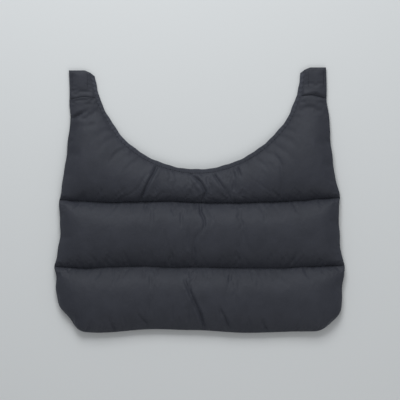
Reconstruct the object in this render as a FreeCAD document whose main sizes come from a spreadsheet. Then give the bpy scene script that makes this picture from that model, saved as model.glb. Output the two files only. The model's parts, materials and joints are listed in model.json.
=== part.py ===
"""Quilted back protector: three wadded channels, a scooped neck and two shoulder tabs.

It lies on its lining. X runs across the back, Y from the hem up to the tabs and Z through the
padding. The origin is at the middle of the outline, on the surface that the lining rests on.
Sizes are in millimetres. Every panel is drawn about the line that it folds on, where its own
origin is, and its Placement puts that line in place.
"""
import FreeCAD, Part
import math
import os
import Sketcher

DRIVING_SIZES = [
    ("lower_channel", 95.0, "hem to lower quilt seam"),
    ("middle_channel", 95.0, "lower to upper quilt seam"),
    ("shoulder_rise", 150.0, "upper quilt seam to the fold line of the tabs"),
    ("tab_length", 41.0, "fold line to the top edge of a tab"),
    ("neck_bridge", 45.0, "upper quilt seam to the lowest point of the neck"),
    ("neck_radius", 150.0, "radius of the scooped neck edge"),
    ("tab_width", 37.0, "width of a tab at its top, with its binding"),
    ("shoulder_flare", 17.0, "how much further out the upper seam ends than a tab"),
    ("waist_flare", 5.5, "how much further out the lower seam ends than the upper"),
    ("hem_taper", 3.0, "how far the sides come in from the lower seam to the hem"),
    ("side_pull", 4.0, "how far a side draws in between two seams"),
    ("corner_radius", 40.0, "rounding of the two hem corners"),
    ("seam_height", 8.0, "height of the stitched seams above the resting surface"),
    ("crown", 16.0, "swell of a full channel above its seams"),
    ("cloth_thickness", 0.5, "one ply of shell or lining cloth"),
    ("pinched_fill", 0.3, "wadding left between the plies at a stitched edge"),
    ("quilt_gap", 1.0, "seam line to the pinched edge of a channel"),
    ("thread_radius", 0.55, "bead of lock stitching that a panel folds on"),
    ("binding_width", 6.5, "flat band along the neck edge"),
    ("binding_thickness", 1.4, "folded tape of the band"),
    ("binding_end_drop", 7.0, "slope of the folded end of the band at a tab top"),
    ("fold_gap", 1.4, "fold line of a tab to the pinched edges beside it"),
    ("tab_depth", 1.8, "fold line of a tab down to its lining"),
    ("patch_thickness", 1.4, "hook tape under a tab"),
    ("patch_margin", 3.0, "edge of a hook tape to the edges of its tab"),
    ("patch_fold_margin", 12.0, "lower edge of a hook tape to the fold line"),
    ("patch_corner", 2.0, "rounded corners of a hook tape"),
    ("stitch_width", 0.8, "row of topstitching on the band"),
    ("stitch_height", 0.5, "how far the topstitching stands up"),
    ("stitch_inset", 0.9, "topstitching to the inner edge of the band"),
]

LENGTH = "Sizes.lower_channel + Sizes.middle_channel + Sizes.shoulder_rise + Sizes.tab_length"
HALF_LENGTH = "(" + LENGTH + ") / 2"
LOWER_SEAM_Y = "Sizes.lower_channel - " + HALF_LENGTH
UPPER_SEAM_Y = "Sizes.lower_channel + Sizes.middle_channel - " + HALF_LENGTH
FOLD_Y = HALF_LENGTH + " - Sizes.tab_length"
TAB_HALF_WIDTH = "Sizes.neck_radius + Sizes.tab_width"
UPPER_SEAM_HALF = TAB_HALF_WIDTH + " + Sizes.shoulder_flare"
LOWER_SEAM_HALF = UPPER_SEAM_HALF + " + Sizes.waist_flare"
FOLD_Z = "Sizes.patch_thickness + Sizes.tab_depth"
NECK_CENTRE = "Sizes.neck_bridge + Sizes.neck_radius"
PATCH_WIDTH = "Sizes.tab_width - Sizes.binding_width - 2 * Sizes.patch_margin"
PATCH_LENGTH = "Sizes.tab_length - Sizes.patch_fold_margin - Sizes.patch_margin"

COLUMNS = 10        # spline spans across a channel
ROWS = 4            # spline spans from one seam to the next
NECK_COLUMNS = 16   # spline spans round the scooped neck
CROWDING = 0.4      # how much shorter the spans get towards an edge
CORNER_SPAN = 0.004 # span beside an end of the neck, which keeps its corner crisp
SWELL_POWER = 2.2   # cross-section of a channel: 2 is a parabola, more is fuller
SIDE_POWER = 16     # how close to its sides a channel keeps its full height
REST_POWER = 3      # how sharply the lining rises beside the flat that it lies on
REST_SHARE = 1.5    # above 1, the lining lies flat over the middle of a channel
STRAIGHT = [0.0, 1.0]

doc = FreeCAD.newDocument("BackProtector")
sheet = doc.addObject("Spreadsheet::Sheet", "Sizes")
for number, (alias, length, meaning) in enumerate(DRIVING_SIZES, start=1):
    sheet.set(f"A{number}", meaning)
    sheet.set(f"B{number}", str(length))
    sheet.setAlias(f"B{number}", alias)
doc.recompute()


def value(expression):
    """Millimetres that an expression on the sheet gives."""
    return float(sheet.evalExpression(expression))


def size(alias):
    """One driving size from the sheet."""
    return value("Sizes." + alias)


def crowded_knots(spans):
    """Knots from 0 to 1 that stand closer together towards both ends."""
    steps = [step / spans for step in range(spans + 1)]
    return [step - CROWDING * math.sin(2 * math.pi * step) / (2 * math.pi) for step in steps]


def pole_places(knots):
    """Places of the control points of a cubic with these knots.

    A straight row of control points at these places gives a line of even pace.
    """
    row = [knots[0]] * 3 + knots + [knots[-1]] * 3
    return [sum(row[first + 1 : first + 4]) / 3 for first in range(len(knots) + 2)]


def between(start, end, fraction):
    """Point at a fraction of the way from start to end."""
    return start * (1 - fraction) + end * fraction


def points_on_line(start, end, fractions):
    """Points at fractions of the way from start to end."""
    return [between(start, end, fraction) for fraction in fractions]


def points_along(edges, fractions):
    """Points at fractions of the whole length of a chain of edges."""
    whole = sum(edge.Length for edge in edges)
    points = []
    for fraction in fractions:
        travel = fraction * whole
        for edge in edges:
            if travel <= edge.Length or edge is edges[-1]:
                points.append(edge.valueAt(edge.getParameterByLength(min(travel, edge.Length))))
                break
            travel -= edge.Length
    return points


def panel_plan(bottom, top, left, right, across, up):
    """Plan of a four-sided panel, column by column, from points on its four edges."""
    plan = []
    for column, u in enumerate(pole_places(across)):
        points = []
        for row, v in enumerate(pole_places(up)):
            ruled = between(bottom[column], top[column], v)
            left_shift = left[row] - between(bottom[0], top[0], v)
            right_shift = right[row] - between(bottom[-1], top[-1], v)
            points.append(ruled + left_shift * (1 - u) + right_shift * u)
        plan.append(points)
    return plan


def spline_face(poles, knots_u, knots_v):
    """Smooth face over a grid of control points: cubic, or straight where it has two of them."""
    degree_u = min(3, len(poles) - 1)
    degree_v = min(3, len(poles[0]) - 1)
    mults_u = [degree_u + 1] + [1] * (len(knots_u) - 2) + [degree_u + 1]
    mults_v = [degree_v + 1] + [1] * (len(knots_v) - 2) + [degree_v + 1]
    surface = Part.BSplineSurface()
    surface.buildFromPolesMultsKnots(
        poles, mults_u, mults_v, knots_u, knots_v, False, False, degree_u, degree_v
    )
    return surface.toShape()


def ply(lower, upper, across, up):
    """Solid between two grids of control points that share their plan and their knots."""
    faces = [spline_face(lower, across, up), spline_face(upper, across, up)]
    for end in (0, -1):
        faces.append(spline_face([lower[end], upper[end]], STRAIGHT, up))
        low_row = [column[end] for column in lower]
        high_row = [column[end] for column in upper]
        faces.append(spline_face([low_row, high_row], STRAIGHT, across))
    shell = Part.makeShell(faces)
    shell.sewShape()
    solid = Part.makeSolid(shell)
    if solid.Volume < 0:
        solid.reverse()
    return solid


def at_height(plan, heights):
    """Control points over a plan at the heights given."""
    return [
        [FreeCAD.Vector(point.x, point.y, height) for point, height in zip(points, column)]
        for points, column in zip(plan, heights)
    ]


def hump(fraction, power):
    """1 in the middle of a stretch and 0 at both its ends."""
    return 1 - abs(2 * fraction - 1) ** power


def stacked_plies(plan, across, up, middle, swell, floor):
    """Lining, wadding and cover of a panel, as three solids that lie on each other.

    across and up are the knots of the two directions. middle gives the height of the pinched
    edges at a point, swell the rise of the cover in a column, and floor the height of the lining
    where it lies flat.
    """
    cloth = size("cloth_thickness")
    pinch = size("pinched_fill") / 2
    over = []
    under = []
    for column, u in enumerate(pole_places(across)):
        side = hump(u, SIDE_POWER)
        over_column = []
        under_column = []
        for row, v in enumerate(pole_places(up)):
            edge = middle(plan[column][row])
            rise = swell[column] * hump(v, SWELL_POWER) * side
            drop = min(1, REST_SHARE * hump(v, REST_POWER) * side)
            over_column.append(edge + pinch + rise)
            under_column.append(edge - pinch - (edge - pinch - cloth - floor) * drop)
        over.append(over_column)
        under.append(under_column)
    lining_outside = at_height(plan, [[height - cloth for height in column] for column in under])
    lining_inside = at_height(plan, under)
    cover_inside = at_height(plan, over)
    cover_outside = at_height(plan, [[height + cloth for height in column] for column in over])
    return {
        "backing": ply(lining_outside, lining_inside, across, up),
        "fill": ply(lining_inside, cover_inside, across, up),
        "cover": ply(cover_inside, cover_outside, across, up),
    }


def level(point):
    """Pinched edges at the height of the fold line."""
    return 0.0


def shoulder_level(point):
    """Pinched edges of the upper panel, which sink towards the tabs on their way up."""
    climb = (point.y - size("neck_bridge")) / (size("shoulder_rise") - size("neck_bridge"))
    climb = min(1, max(0, climb))
    eased_climb = climb * climb * (3 - 2 * climb)
    return (value(FOLD_Z) - size("seam_height")) * eased_climb


def neck_x(radius, height_below_centre):
    """Distance from the middle of the back to a circle round the neck's centre."""
    drop = max(0, height_below_centre)
    return math.sqrt(radius * radius - drop * drop)


def neck_point(radius, angle, centre_y):
    """Point on a circle round the neck's centre, by its angle from straight down."""
    return FreeCAD.Vector(radius * math.sin(angle), centre_y - radius * math.cos(angle), 0)


def place(feature, fold_y, fold_z):
    """Put a piece that is drawn about a fold line at that line."""
    feature.setExpression("Placement.Base.y", fold_y)
    feature.setExpression("Placement.Base.z", fold_z)


def add_piece(label, shape, fold_y, fold_z):
    """Soft piece with a free-form shape."""
    feature = doc.addObject("Part::Feature", label)
    feature.Label = label
    feature.Shape = shape
    place(feature, fold_y, fold_z)
    return feature


def add_mirrored(label, source):
    """Left-hand twin of a piece on the right."""
    twin = doc.addObject("Part::Mirroring", label)
    twin.Label = label
    twin.Source = source
    twin.Normal = FreeCAD.Vector(1, 0, 0)
    return twin


def middle_panel():
    """Straight channel between the two quilt seams, drawn down from the upper seam."""
    gap = size("quilt_gap")
    low = gap - size("middle_channel")
    half_low = value(LOWER_SEAM_HALF)
    half_high = value(UPPER_SEAM_HALF)
    waist = FreeCAD.Vector((half_low + half_high) / 2 - size("side_pull"), (low - gap) / 2, 0)
    low_end = FreeCAD.Vector(half_low, low, 0)
    high_end = FreeCAD.Vector(half_high, -gap, 0)
    side = Part.Arc(low_end, waist, high_end).toShape()
    return channel(straight_edge(low_end), straight_edge(high_end), [side])


def straight_edge(right_end):
    """Points of a level edge that ends at right_end and at its mirror image."""
    left_end = FreeCAD.Vector(-right_end.x, right_end.y, 0)
    return points_on_line(left_end, right_end, pole_places(crowded_knots(COLUMNS)))


def mirrored(points):
    """The same points on the other side of the middle of the back."""
    return [FreeCAD.Vector(-point.x, point.y, 0) for point in points]


def channel(bottom, top, right_side):
    """Plies of a channel with even swell, from two edges and the path of its right side."""
    up = crowded_knots(ROWS)
    across = crowded_knots(COLUMNS)
    right = points_along(right_side, pole_places(up))
    plan = panel_plan(bottom, top, mirrored(right), right, across, up)
    swell = [size("crown")] * len(plan)
    return stacked_plies(plan, across, up, level, swell, -size("seam_height"))


def lower_panel():
    """Channel with two rounded corners, drawn down from the lower seam to the hem."""
    radius = size("corner_radius")
    hem_y = -size("lower_channel")
    hem_half = value(LOWER_SEAM_HALF) - size("hem_taper")
    diagonal = radius * math.sqrt(0.5)
    centre = FreeCAD.Vector(hem_half - radius, hem_y + radius, 0)
    corner = centre + FreeCAD.Vector(diagonal, -diagonal, 0)
    side_start = centre + FreeCAD.Vector(radius, 0, 0)
    hem_end = centre + FreeCAD.Vector(0, -radius, 0)
    seam_end = FreeCAD.Vector(value(LOWER_SEAM_HALF), -size("quilt_gap"), 0)

    side_arc = arc_about(centre, corner, side_start)
    side_line = Part.LineSegment(side_start, seam_end).toShape()
    hem_arc = arc_about(centre, hem_end, corner)
    hem_line = Part.LineSegment(FreeCAD.Vector(0, hem_y, 0), hem_end).toShape()
    places = pole_places(crowded_knots(COLUMNS))
    right_half = [max(0, 2 * share - 1) for share in places[len(places) // 2 :]]
    hem_right = points_along([hem_line, hem_arc], right_half)
    hem_left = mirrored(hem_right[:0:-1])
    return channel(hem_left + hem_right, straight_edge(seam_end), [side_arc, side_line])


def arc_about(centre, start, end):
    """Short arc about a centre from start to end."""
    radius = (start - centre).Length
    halfway = centre + ((start + end) / 2 - centre).normalize() * radius
    return Part.Arc(start, halfway, end).toShape()


def neck_limit(radius):
    """Angle from straight down at which a circle round the neck's centre ends, short of a fold line."""
    below = value(NECK_CENTRE) - size("shoulder_rise") + size("fold_gap")
    return math.acos(below / radius)


def neck_knots():
    """Knots round the neck: even, but for a short span at each end."""
    even = (1 - 2 * CORNER_SPAN) / NECK_COLUMNS
    return [0.0] + [CORNER_SPAN + even * step for step in range(NECK_COLUMNS + 1)] + [1.0]


def neck_curve(radius):
    """Control points round the scooped neck at a radius, from fold line to fold line."""
    limit = neck_limit(radius)
    angles = [limit * (2 * share - 1) for share in pole_places(neck_knots())]
    return [neck_point(radius, angle, value(NECK_CENTRE)) for angle in angles]


def upper_panel():
    """Yoke between the upper seam, the scooped neck and the two fold lines."""
    gap = size("quilt_gap")
    fold_edge_y = size("shoulder_rise") - size("fold_gap")
    radius = size("neck_radius") + size("binding_width")
    limit = neck_limit(radius)
    neck_ends = [neck_point(radius, angle, value(NECK_CENTRE)) for angle in (-limit, 0, limit)]
    fold_outer = FreeCAD.Vector(value(TAB_HALF_WIDTH), fold_edge_y, 0)
    fold_edge = Part.LineSegment(neck_ends[-1], fold_outer).toShape()
    left_outer = FreeCAD.Vector(-fold_outer.x, fold_edge_y, 0)
    left_fold_edge = Part.LineSegment(left_outer, neck_ends[0]).toShape()
    neck_edge = Part.Arc(*neck_ends).toShape()
    whole = neck_edge.Length + 2 * fold_edge.Length

    corner = fold_edge.Length / whole
    step = CORNER_SPAN * neck_edge.Length / whole
    fold_knots = [0.0, (corner - step) / 2, corner - step]
    neck_part = [corner + knot * (1 - 2 * corner) for knot in neck_knots()]
    across = fold_knots + neck_part + [1 - knot for knot in reversed(fold_knots)]
    top = points_along([left_fold_edge, neck_edge, fold_edge], pole_places(across))
    seam_end = FreeCAD.Vector(value(UPPER_SEAM_HALF), gap, 0)
    bottom = points_on_line(FreeCAD.Vector(-seam_end.x, gap, 0), seam_end, pole_places(across))

    flare = size("shoulder_flare")
    rise = fold_edge_y - gap
    side = Part.BezierCurve()
    side.setPoles([
        seam_end,
        fold_outer + FreeCAD.Vector(flare * 0.45, -rise * 0.73, 0),
        fold_outer + FreeCAD.Vector(flare * 0.1, -rise * 0.4, 0),
        fold_outer,
    ])
    up = crowded_knots(ROWS)
    right = points_along([side.toShape()], pole_places(up))
    plan = panel_plan(bottom, top, mirrored(right), right, across, up)
    swell = []
    for low, high in zip(bottom, top):
        fullness = min(1, (high - low).Length / size("middle_channel"))
        swell.append(size("crown") * math.sqrt(fullness))
    return stacked_plies(plan, across, up, shoulder_level, swell, -size("seam_height"))


def band(near, far, knots, middle, bottom, top, shares=(0, 1)):
    """Strip from bottom to top about the height middle, between two rows of control points.

    shares say how far across from near to far its two edges lie.
    """
    lower = []
    upper = []
    for inner, outer in zip(near, far):
        start = FreeCAD.Vector(inner.x, inner.y, middle(inner))
        end = FreeCAD.Vector(outer.x, outer.y, middle(outer))
        strip = points_on_line(start, end, shares)
        lower.append([point + FreeCAD.Vector(0, 0, bottom) for point in strip])
        upper.append([point + FreeCAD.Vector(0, 0, top) for point in strip])
    return ply(lower, upper, knots, STRAIGHT)


def bound_edge(near, far, knots, middle):
    """Binding between two rows of control points, and its row of topstitching."""
    half = size("binding_thickness") / 2
    width = size("binding_width")
    outer_share = 1 - size("stitch_inset") / width
    shares = (outer_share - size("stitch_width") / width, outer_share)
    binding = band(near, far, knots, middle, -half, half)
    stitching = band(near, far, knots, middle, half, half + size("stitch_height"), shares)
    return binding, stitching


def neck_band():
    """Binding of the scooped neck and its row of topstitching."""
    edge = size("neck_radius")
    far = neck_curve(edge + size("binding_width"))
    return bound_edge(neck_curve(edge), far, neck_knots(), shoulder_level)


def tab_curve(radius, end):
    """Control points up the inner edge of the right tab, drawn from the fold line, at a radius."""
    below = value(NECK_CENTRE) - size("shoulder_rise")
    start = size("fold_gap")
    points = []
    for share in pole_places(crowded_knots(ROWS)):
        height = start + (end - start) * share
        points.append(FreeCAD.Vector(neck_x(radius, below - height), height, 0))
    return points


def right_tab():
    """Lining, interlining and cover of the right tab, flat and drawn up from its fold line."""
    cloth = size("cloth_thickness")
    pinch = size("pinched_fill") / 2
    inner = tab_curve(size("neck_radius") + size("binding_width"), size("tab_length"))
    outer = [FreeCAD.Vector(value(TAB_HALF_WIDTH), point.y, 0) for point in inner]
    heights = [-size("tab_depth"), cloth - size("tab_depth"), pinch, pinch + cloth]
    return {
        layer: band(inner, outer, crowded_knots(ROWS), level, bottom, top)
        for layer, bottom, top in zip(("backing", "fill", "cover"), heights, heights[1:])
    }


def tab_band():
    """Binding of the right tab, with its sloping folded end, and its topstitching."""
    edge = size("neck_radius")
    near = tab_curve(edge, size("tab_length") - size("binding_end_drop"))
    far = tab_curve(edge + size("binding_width"), size("tab_length"))
    return bound_edge(near, far, crowded_knots(ROWS), level)


def seam_thread(label, start_x, end_x, fold_y, fold_z):
    """Bead of lock stitching along the line that two panels fold on."""
    thread = doc.addObject("Part::Cylinder", label)
    thread.Label = label
    thread.setExpression("Radius", "Sizes.thread_radius")
    thread.setExpression("Height", f"{end_x} - ({start_x})")
    thread.Placement.Rotation = FreeCAD.Rotation(FreeCAD.Vector(0, 1, 0), 90)
    thread.setExpression("Placement.Base.x", start_x)
    place(thread, fold_y, fold_z)
    return thread


def quilt_thread(label, half_width, seam_y):
    """Quilting from side to side between two channels."""
    return seam_thread(label, f"-({half_width})", half_width, seam_y, "Sizes.seam_height")


def tab_thread():
    """Stop stitching across the right strap, which keeps the wadding out of its tab."""
    start_x = "sqrt(Sizes.neck_radius ^ 2 - (" + NECK_CENTRE + " - Sizes.shoulder_rise) ^ 2)"
    return seam_thread("right_tab_thread", start_x, TAB_HALF_WIDTH, FOLD_Y, FOLD_Z)


def hook_patch():
    """Rectangle of hook tape under the right tab, with rounded corners."""
    body = doc.addObject("PartDesign::Body", "right_hook_patch")
    body.Label = "right_hook_patch"
    plane = next(item for item in body.Origin.OriginFeatures if item.Role == "XY_Plane")
    outline = body.newObject("Sketcher::SketchObject", "hook_tape_outline")
    outline.AttachmentSupport = (plane, [""])
    outline.MapMode = "FlatFace"
    corners = [FreeCAD.Vector(x, y, 0) for x, y in ((0, 0), (20, 0), (20, 30), (0, 30))]
    for start, end in zip(corners, corners[1:] + corners[:1]):
        outline.addGeometry(Part.LineSegment(start, end), False)
    for side in range(4):
        outline.addConstraint(Sketcher.Constraint("Coincident", side, 2, (side + 1) % 4, 1))
    for side in (0, 2):
        outline.addConstraint(Sketcher.Constraint("Horizontal", side))
        outline.addConstraint(Sketcher.Constraint("Vertical", side + 1))
    outline.addConstraint(Sketcher.Constraint("Coincident", 0, 1, -1, 1))
    width = outline.addConstraint(Sketcher.Constraint("DistanceX", 0, 1, 0, 2, 20))
    outline.setExpression(f"Constraints[{width}]", PATCH_WIDTH)
    length = outline.addConstraint(Sketcher.Constraint("DistanceY", 1, 1, 1, 2, 30))
    outline.setExpression(f"Constraints[{length}]", PATCH_LENGTH)
    pad = body.newObject("PartDesign::Pad", "hook_tape")
    pad.Profile = outline
    pad.setExpression("Length", "Sizes.patch_thickness")
    doc.recompute()
    uprights = [
        f"Edge{number}"
        for number, edge in enumerate(pad.Shape.Edges, start=1)
        if abs(edge.Vertexes[0].Z - edge.Vertexes[-1].Z) > size("patch_thickness") / 2
    ]
    rounding = body.newObject("PartDesign::Fillet", "hook_tape_corners")
    rounding.Base = (pad, uprights)
    rounding.setExpression("Radius", "Sizes.patch_corner")
    patch_x = "Sizes.neck_radius + Sizes.binding_width + Sizes.patch_margin"
    body.setExpression("Placement.Base.x", patch_x)
    body.setExpression("Placement.Base.y", FOLD_Y + " + Sizes.patch_fold_margin")
    return body


pieces = []
for name, plies, fold_y in (
    ("upper", upper_panel(), UPPER_SEAM_Y),
    ("middle", middle_panel(), UPPER_SEAM_Y),
    ("lower", lower_panel(), LOWER_SEAM_Y),
):
    for layer, solid in plies.items():
        pieces.append(add_piece(f"{name}_{layer}", solid, fold_y, "Sizes.seam_height"))

neck_binding, neck_stitching = neck_band()
pieces.append(add_piece("neck_binding", neck_binding, UPPER_SEAM_Y, "Sizes.seam_height"))
pieces.append(add_piece("neck_topstitch", neck_stitching, UPPER_SEAM_Y, "Sizes.seam_height"))
pieces.append(quilt_thread("upper_quilt_thread", UPPER_SEAM_HALF, UPPER_SEAM_Y))
pieces.append(quilt_thread("lower_quilt_thread", LOWER_SEAM_HALF, LOWER_SEAM_Y))

tab_binding, tab_stitching = tab_band()
tab_solids = dict(right_tab(), binding=tab_binding, topstitch=tab_stitching)
right_pieces = [
    add_piece(f"right_tab_{layer}", solid, FOLD_Y, FOLD_Z) for layer, solid in tab_solids.items()
]
right_pieces.append(hook_patch())
right_pieces.append(tab_thread())
for piece in right_pieces:
    pieces.append(piece)
    pieces.append(add_mirrored(piece.Label.replace("right", "left"), piece))

doc.recompute()
for feature in doc.Objects:
    if "Invalid" in feature.State or "Error" in feature.State:
        raise RuntimeError(f"{feature.Label} did not build: {feature.State}")
for piece in pieces:
    if piece.Shape.isNull() or not piece.Shape.isValid() or len(piece.Shape.Solids) != 1:
        raise RuntimeError(f"{piece.Label} is not one valid solid")

os.makedirs("parts", exist_ok=True)
for piece in pieces:
    piece.Shape.exportStep(f"parts/{piece.Label}.step")
    print(f"{piece.Label}: {piece.Shape.Volume / 1000:.2f} cm3")
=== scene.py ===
"""Looks of the quilted back protector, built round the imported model.

Lengths in this script are millimetres until a mesh is made, and the axes are the model's own:
X across the back, Y up towards the shoulder tabs, Z out of the quilted face.
"""
import json
import math
import bpy
import numpy as np
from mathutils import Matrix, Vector
from mathutils.bvhtree import BVHTree


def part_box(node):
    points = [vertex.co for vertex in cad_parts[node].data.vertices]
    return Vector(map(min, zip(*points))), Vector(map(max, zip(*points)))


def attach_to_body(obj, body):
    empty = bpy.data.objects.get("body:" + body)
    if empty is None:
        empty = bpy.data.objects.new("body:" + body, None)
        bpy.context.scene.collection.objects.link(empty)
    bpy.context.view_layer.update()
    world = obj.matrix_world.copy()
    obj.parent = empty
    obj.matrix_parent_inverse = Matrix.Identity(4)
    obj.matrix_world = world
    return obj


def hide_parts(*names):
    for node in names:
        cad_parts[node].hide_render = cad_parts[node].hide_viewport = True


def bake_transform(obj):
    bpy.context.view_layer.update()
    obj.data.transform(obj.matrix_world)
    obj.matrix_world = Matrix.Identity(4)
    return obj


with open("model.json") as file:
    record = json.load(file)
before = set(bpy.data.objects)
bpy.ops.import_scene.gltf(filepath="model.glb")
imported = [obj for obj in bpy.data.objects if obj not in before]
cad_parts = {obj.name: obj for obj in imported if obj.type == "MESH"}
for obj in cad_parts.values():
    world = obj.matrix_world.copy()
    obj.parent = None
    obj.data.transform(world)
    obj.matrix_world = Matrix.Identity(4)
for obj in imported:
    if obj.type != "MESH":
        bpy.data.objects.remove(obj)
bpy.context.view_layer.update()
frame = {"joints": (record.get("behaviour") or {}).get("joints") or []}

MM = 0.001


# ---- sizes, read from the frame

def joint_place(name):
    """Where a fold line lies, in millimetres."""
    joint = next(item for item in frame["joints"] if item["name"] == name)
    return np.array(joint["pos_m"]) / MM


def corners(node):
    """Lowest and highest corner of a CAD node, in millimetres."""
    low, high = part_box(node)
    return np.array(low) / MM, np.array(high) / MM


UPPER_SEAM_Y, SEAM_Z = joint_place("upper_fold")[1:]
LOWER_SEAM_Y = joint_place("lower_fold")[1]
FOLD_Y, FOLD_Z = joint_place("right_tab_fold")[1:]
HEM_Y = corners("lower_cover")[0][1]
TAB_TOP_Y = corners("right_tab_cover")[1][1]
LOWER_HALF = corners("lower_cover")[1][0]
UPPER_HALF = corners("upper_cover")[1][0]
TAB_HALF = corners("right_tab_cover")[1][0]
CROWN_TOP_Z = corners("middle_cover")[1][2]
BINDING_WIDTH = 6.5
NECK_RADIUS = 150.0
NECK_CENTRE_Y = corners("neck_binding")[0][1] + NECK_RADIUS + BINDING_WIDTH
PATCH_GAP = 0.1  # between a tab's lining and the hook tape under it
TAB_FLOOR = corners("right_hook_patch")[1][2] + PATCH_GAP

HEM_TAPER = 3.0  # how far a side comes in from the lower seam to the hem
HEM_HALF = LOWER_HALF - HEM_TAPER
CORNER_RADIUS = 40.0
SIDE_PULL = 4.0  # how far the middle channel draws in between its seams
YOKE_SHIFT = 4.0  # how far the yoke lies towards -X of where it was cut
CLOTH = 0.6  # one ply
SEAM_DIP = 3.8
SEAM_DIP_REACH = 3.4
CROWN = CROWN_TOP_Z - SEAM_Z
TAB_CORNER_DROP = 3.8
TAB_CORNER_WIDTH = 8.5
STRAP_RISE = 2.4
SIDE_POWER = 18  # how square a channel's two ends are

COLUMNS = 128  # mesh columns across a channel
FOLD_COLUMNS = 12  # those of them that run on into a tab
ROWS = 30
TAB_ROWS = 14
rng = np.random.default_rng(11)


# ---- plan of the pad

def smooth(value, start, end):
    """0 before start, 1 after end, eased between."""
    t = np.clip((value - start) / (end - start), 0, 1)
    return t * t * (3 - 2 * t)


def eased_curve(x, knots):
    """Smooth curve through (position, value) knots."""
    places, values = np.array(knots).T
    step = np.interp(x, places, np.arange(len(knots)))
    base = np.clip(np.floor(step).astype(int), 0, len(knots) - 2)
    t = smooth(step - base, 0, 1)
    return values[base] * (1 - t) + values[base + 1] * t


HEM_SWAY = [(-205, 0.5), (-147, -2.2), (-65, 3.0), (-10, 1.6), (70, -2.4), (150, -0.4), (205, 0.0)]
LOWER_SWAY = [
    (-205, -1.7), (-165, -3.8), (-128, -2.0), (-83, -0.9), (-37, -2.9), (-14, -2.1), (56, -3.5),
    (120, -3.6), (150, -1.7), (205, 0.2),
]
UPPER_SWAY = [
    (-204, 0.5), (-176, -1.3), (-132, -3.3), (-100, -2.4), (-50, -1.3), (20, -3.9), (56, -3.7),
    (102, -2.3), (149, -0.6), (172, 1.9), (204, 3.6),
]


def tab_lean(x, y):
    """How far the shoulders and tabs lie towards +X of where they were cut."""
    return np.where(x > 0, 1.8, 2.2) * smooth(y, 85, 120) * (1 - 0.6 * smooth(y, 165, 185))


def tab_sway(x):
    """How far a tab lies further up than it was cut."""
    return np.where(x > 0, 2.3, -2.0)


def fold_wave(x):
    """How far a strap's stop stitching strays from a straight line."""
    right = eased_curve(x, [(140, -1.6), (164, 0.5), (188, -3.8)])
    left = eased_curve(x, [(-188, -1.0), (-166, 2.2), (-140, 0.6)])
    return np.where(x > 0, right, left)


def settle(plan):
    """The cut plan as the real pad lies: seams sway a little and the two halves differ."""
    x = plan[..., 0]
    y = plan[..., 1]
    below = smooth(y, LOWER_SEAM_Y, HEM_Y)
    above = smooth(y, LOWER_SEAM_Y, UPPER_SEAM_Y)
    fade = 1 - smooth(y, UPPER_SEAM_Y, UPPER_SEAM_Y + 60)
    sway = eased_curve(x, HEM_SWAY) * below
    sway = sway + eased_curve(x, LOWER_SWAY) * (1 - below) * (1 - above)
    sway = sway + eased_curve(x, UPPER_SWAY) * above * fade
    sway = sway + smooth(y, FOLD_Y - 40, FOLD_Y) * tab_sway(x)
    sway = sway + fold_wave(x) * np.exp(-(((y - FOLD_Y) / 10) ** 2))
    sides = np.abs(x / TAB_HALF) ** 4 * (1 - smooth(y, 95, 150))
    shift = -YOKE_SHIFT * smooth(y, 0, 50) * (1 - 0.9 * np.clip(sides, 0, 1))
    shift = shift + tab_lean(x, y)
    left_corner = np.exp(-(((x + 198) / 32) ** 2) - ((y - HEM_Y - 15) / 19) ** 2)
    right_corner = np.exp(-(((x - 196) / 30) ** 2) - ((y - HEM_Y - 10) / 14) ** 2)
    shift = shift + 12.0 * left_corner - 4.5 * right_corner
    flare = 1.6 * np.exp(-(((y - LOWER_SEAM_Y) / 9) ** 2)) * np.abs(x / LOWER_HALF) ** 10
    shift = shift + flare * np.sign(x)
    edge_wave = 0.7 * np.sin(y / 9.0 + 0.6) + 0.5 * np.sin(y / 4.7)
    shift = shift + edge_wave * np.abs(x / LOWER_HALF) ** 8
    return np.stack([x + shift, y + sway], axis=-1)


def travelled(path):
    """Distance along a path from its start to each of its points."""
    steps = np.linalg.norm(np.diff(path, axis=0), axis=1)
    return np.concatenate([[0], np.cumsum(steps)])


def resample(points, fractions):
    """Points at fractions of a path's length."""
    travel = travelled(points)
    shares = travel / travel[-1]
    return np.stack([np.interp(fractions, shares, points[:, axis]) for axis in range(2)], axis=-1)


def mirror_plan(points):
    """The same points on the other side of the middle line."""
    return points * np.array([-1.0, 1.0])


def coons(bottom, top, left, right, u, v):
    """Plan of a four-sided panel from points on its edges: rows from bottom to top."""
    u = u[None, :, None]
    v = v[:, None, None]
    ruled = bottom[None] * (1 - v) + top[None] * v
    left_shift = left[:, None] - (bottom[None, :1] * (1 - v) + top[None, :1] * v)
    right_shift = right[:, None] - (bottom[None, -1:] * (1 - v) + top[None, -1:] * v)
    return ruled + left_shift * (1 - u) + right_shift * u


def circle(radius, angles, centre):
    """Points on a circle, by angles from straight down."""
    x = centre[0] + radius * np.sin(angles)
    return np.stack([x, centre[1] - radius * np.cos(angles)], axis=-1)


NECK_CENTRE = (0.0, NECK_CENTRE_Y)
COVER_RADIUS = NECK_RADIUS + BINDING_WIDTH - 1.2


def fold_angle(radius):
    """Angle from straight down at which a neck circle reaches the tabs' fold line."""
    return math.acos((NECK_CENTRE_Y - FOLD_Y) / radius)


def upper_top_edge():
    """Top edge of the yoke: fold line, scooped neck, fold line."""
    limit = fold_angle(COVER_RADIUS)
    neck = circle(COVER_RADIUS, np.linspace(-limit, limit, COLUMNS - 2 * FOLD_COLUMNS + 1), NECK_CENTRE)
    along = np.linspace(0, 1, FOLD_COLUMNS + 1)[1:, None]
    outer = np.array([TAB_HALF, FOLD_Y])
    right = neck[-1] * (1 - along) + outer * along
    return np.concatenate([mirror_plan(right[::-1]), neck, right])


TOP_EDGE = upper_top_edge()
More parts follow.
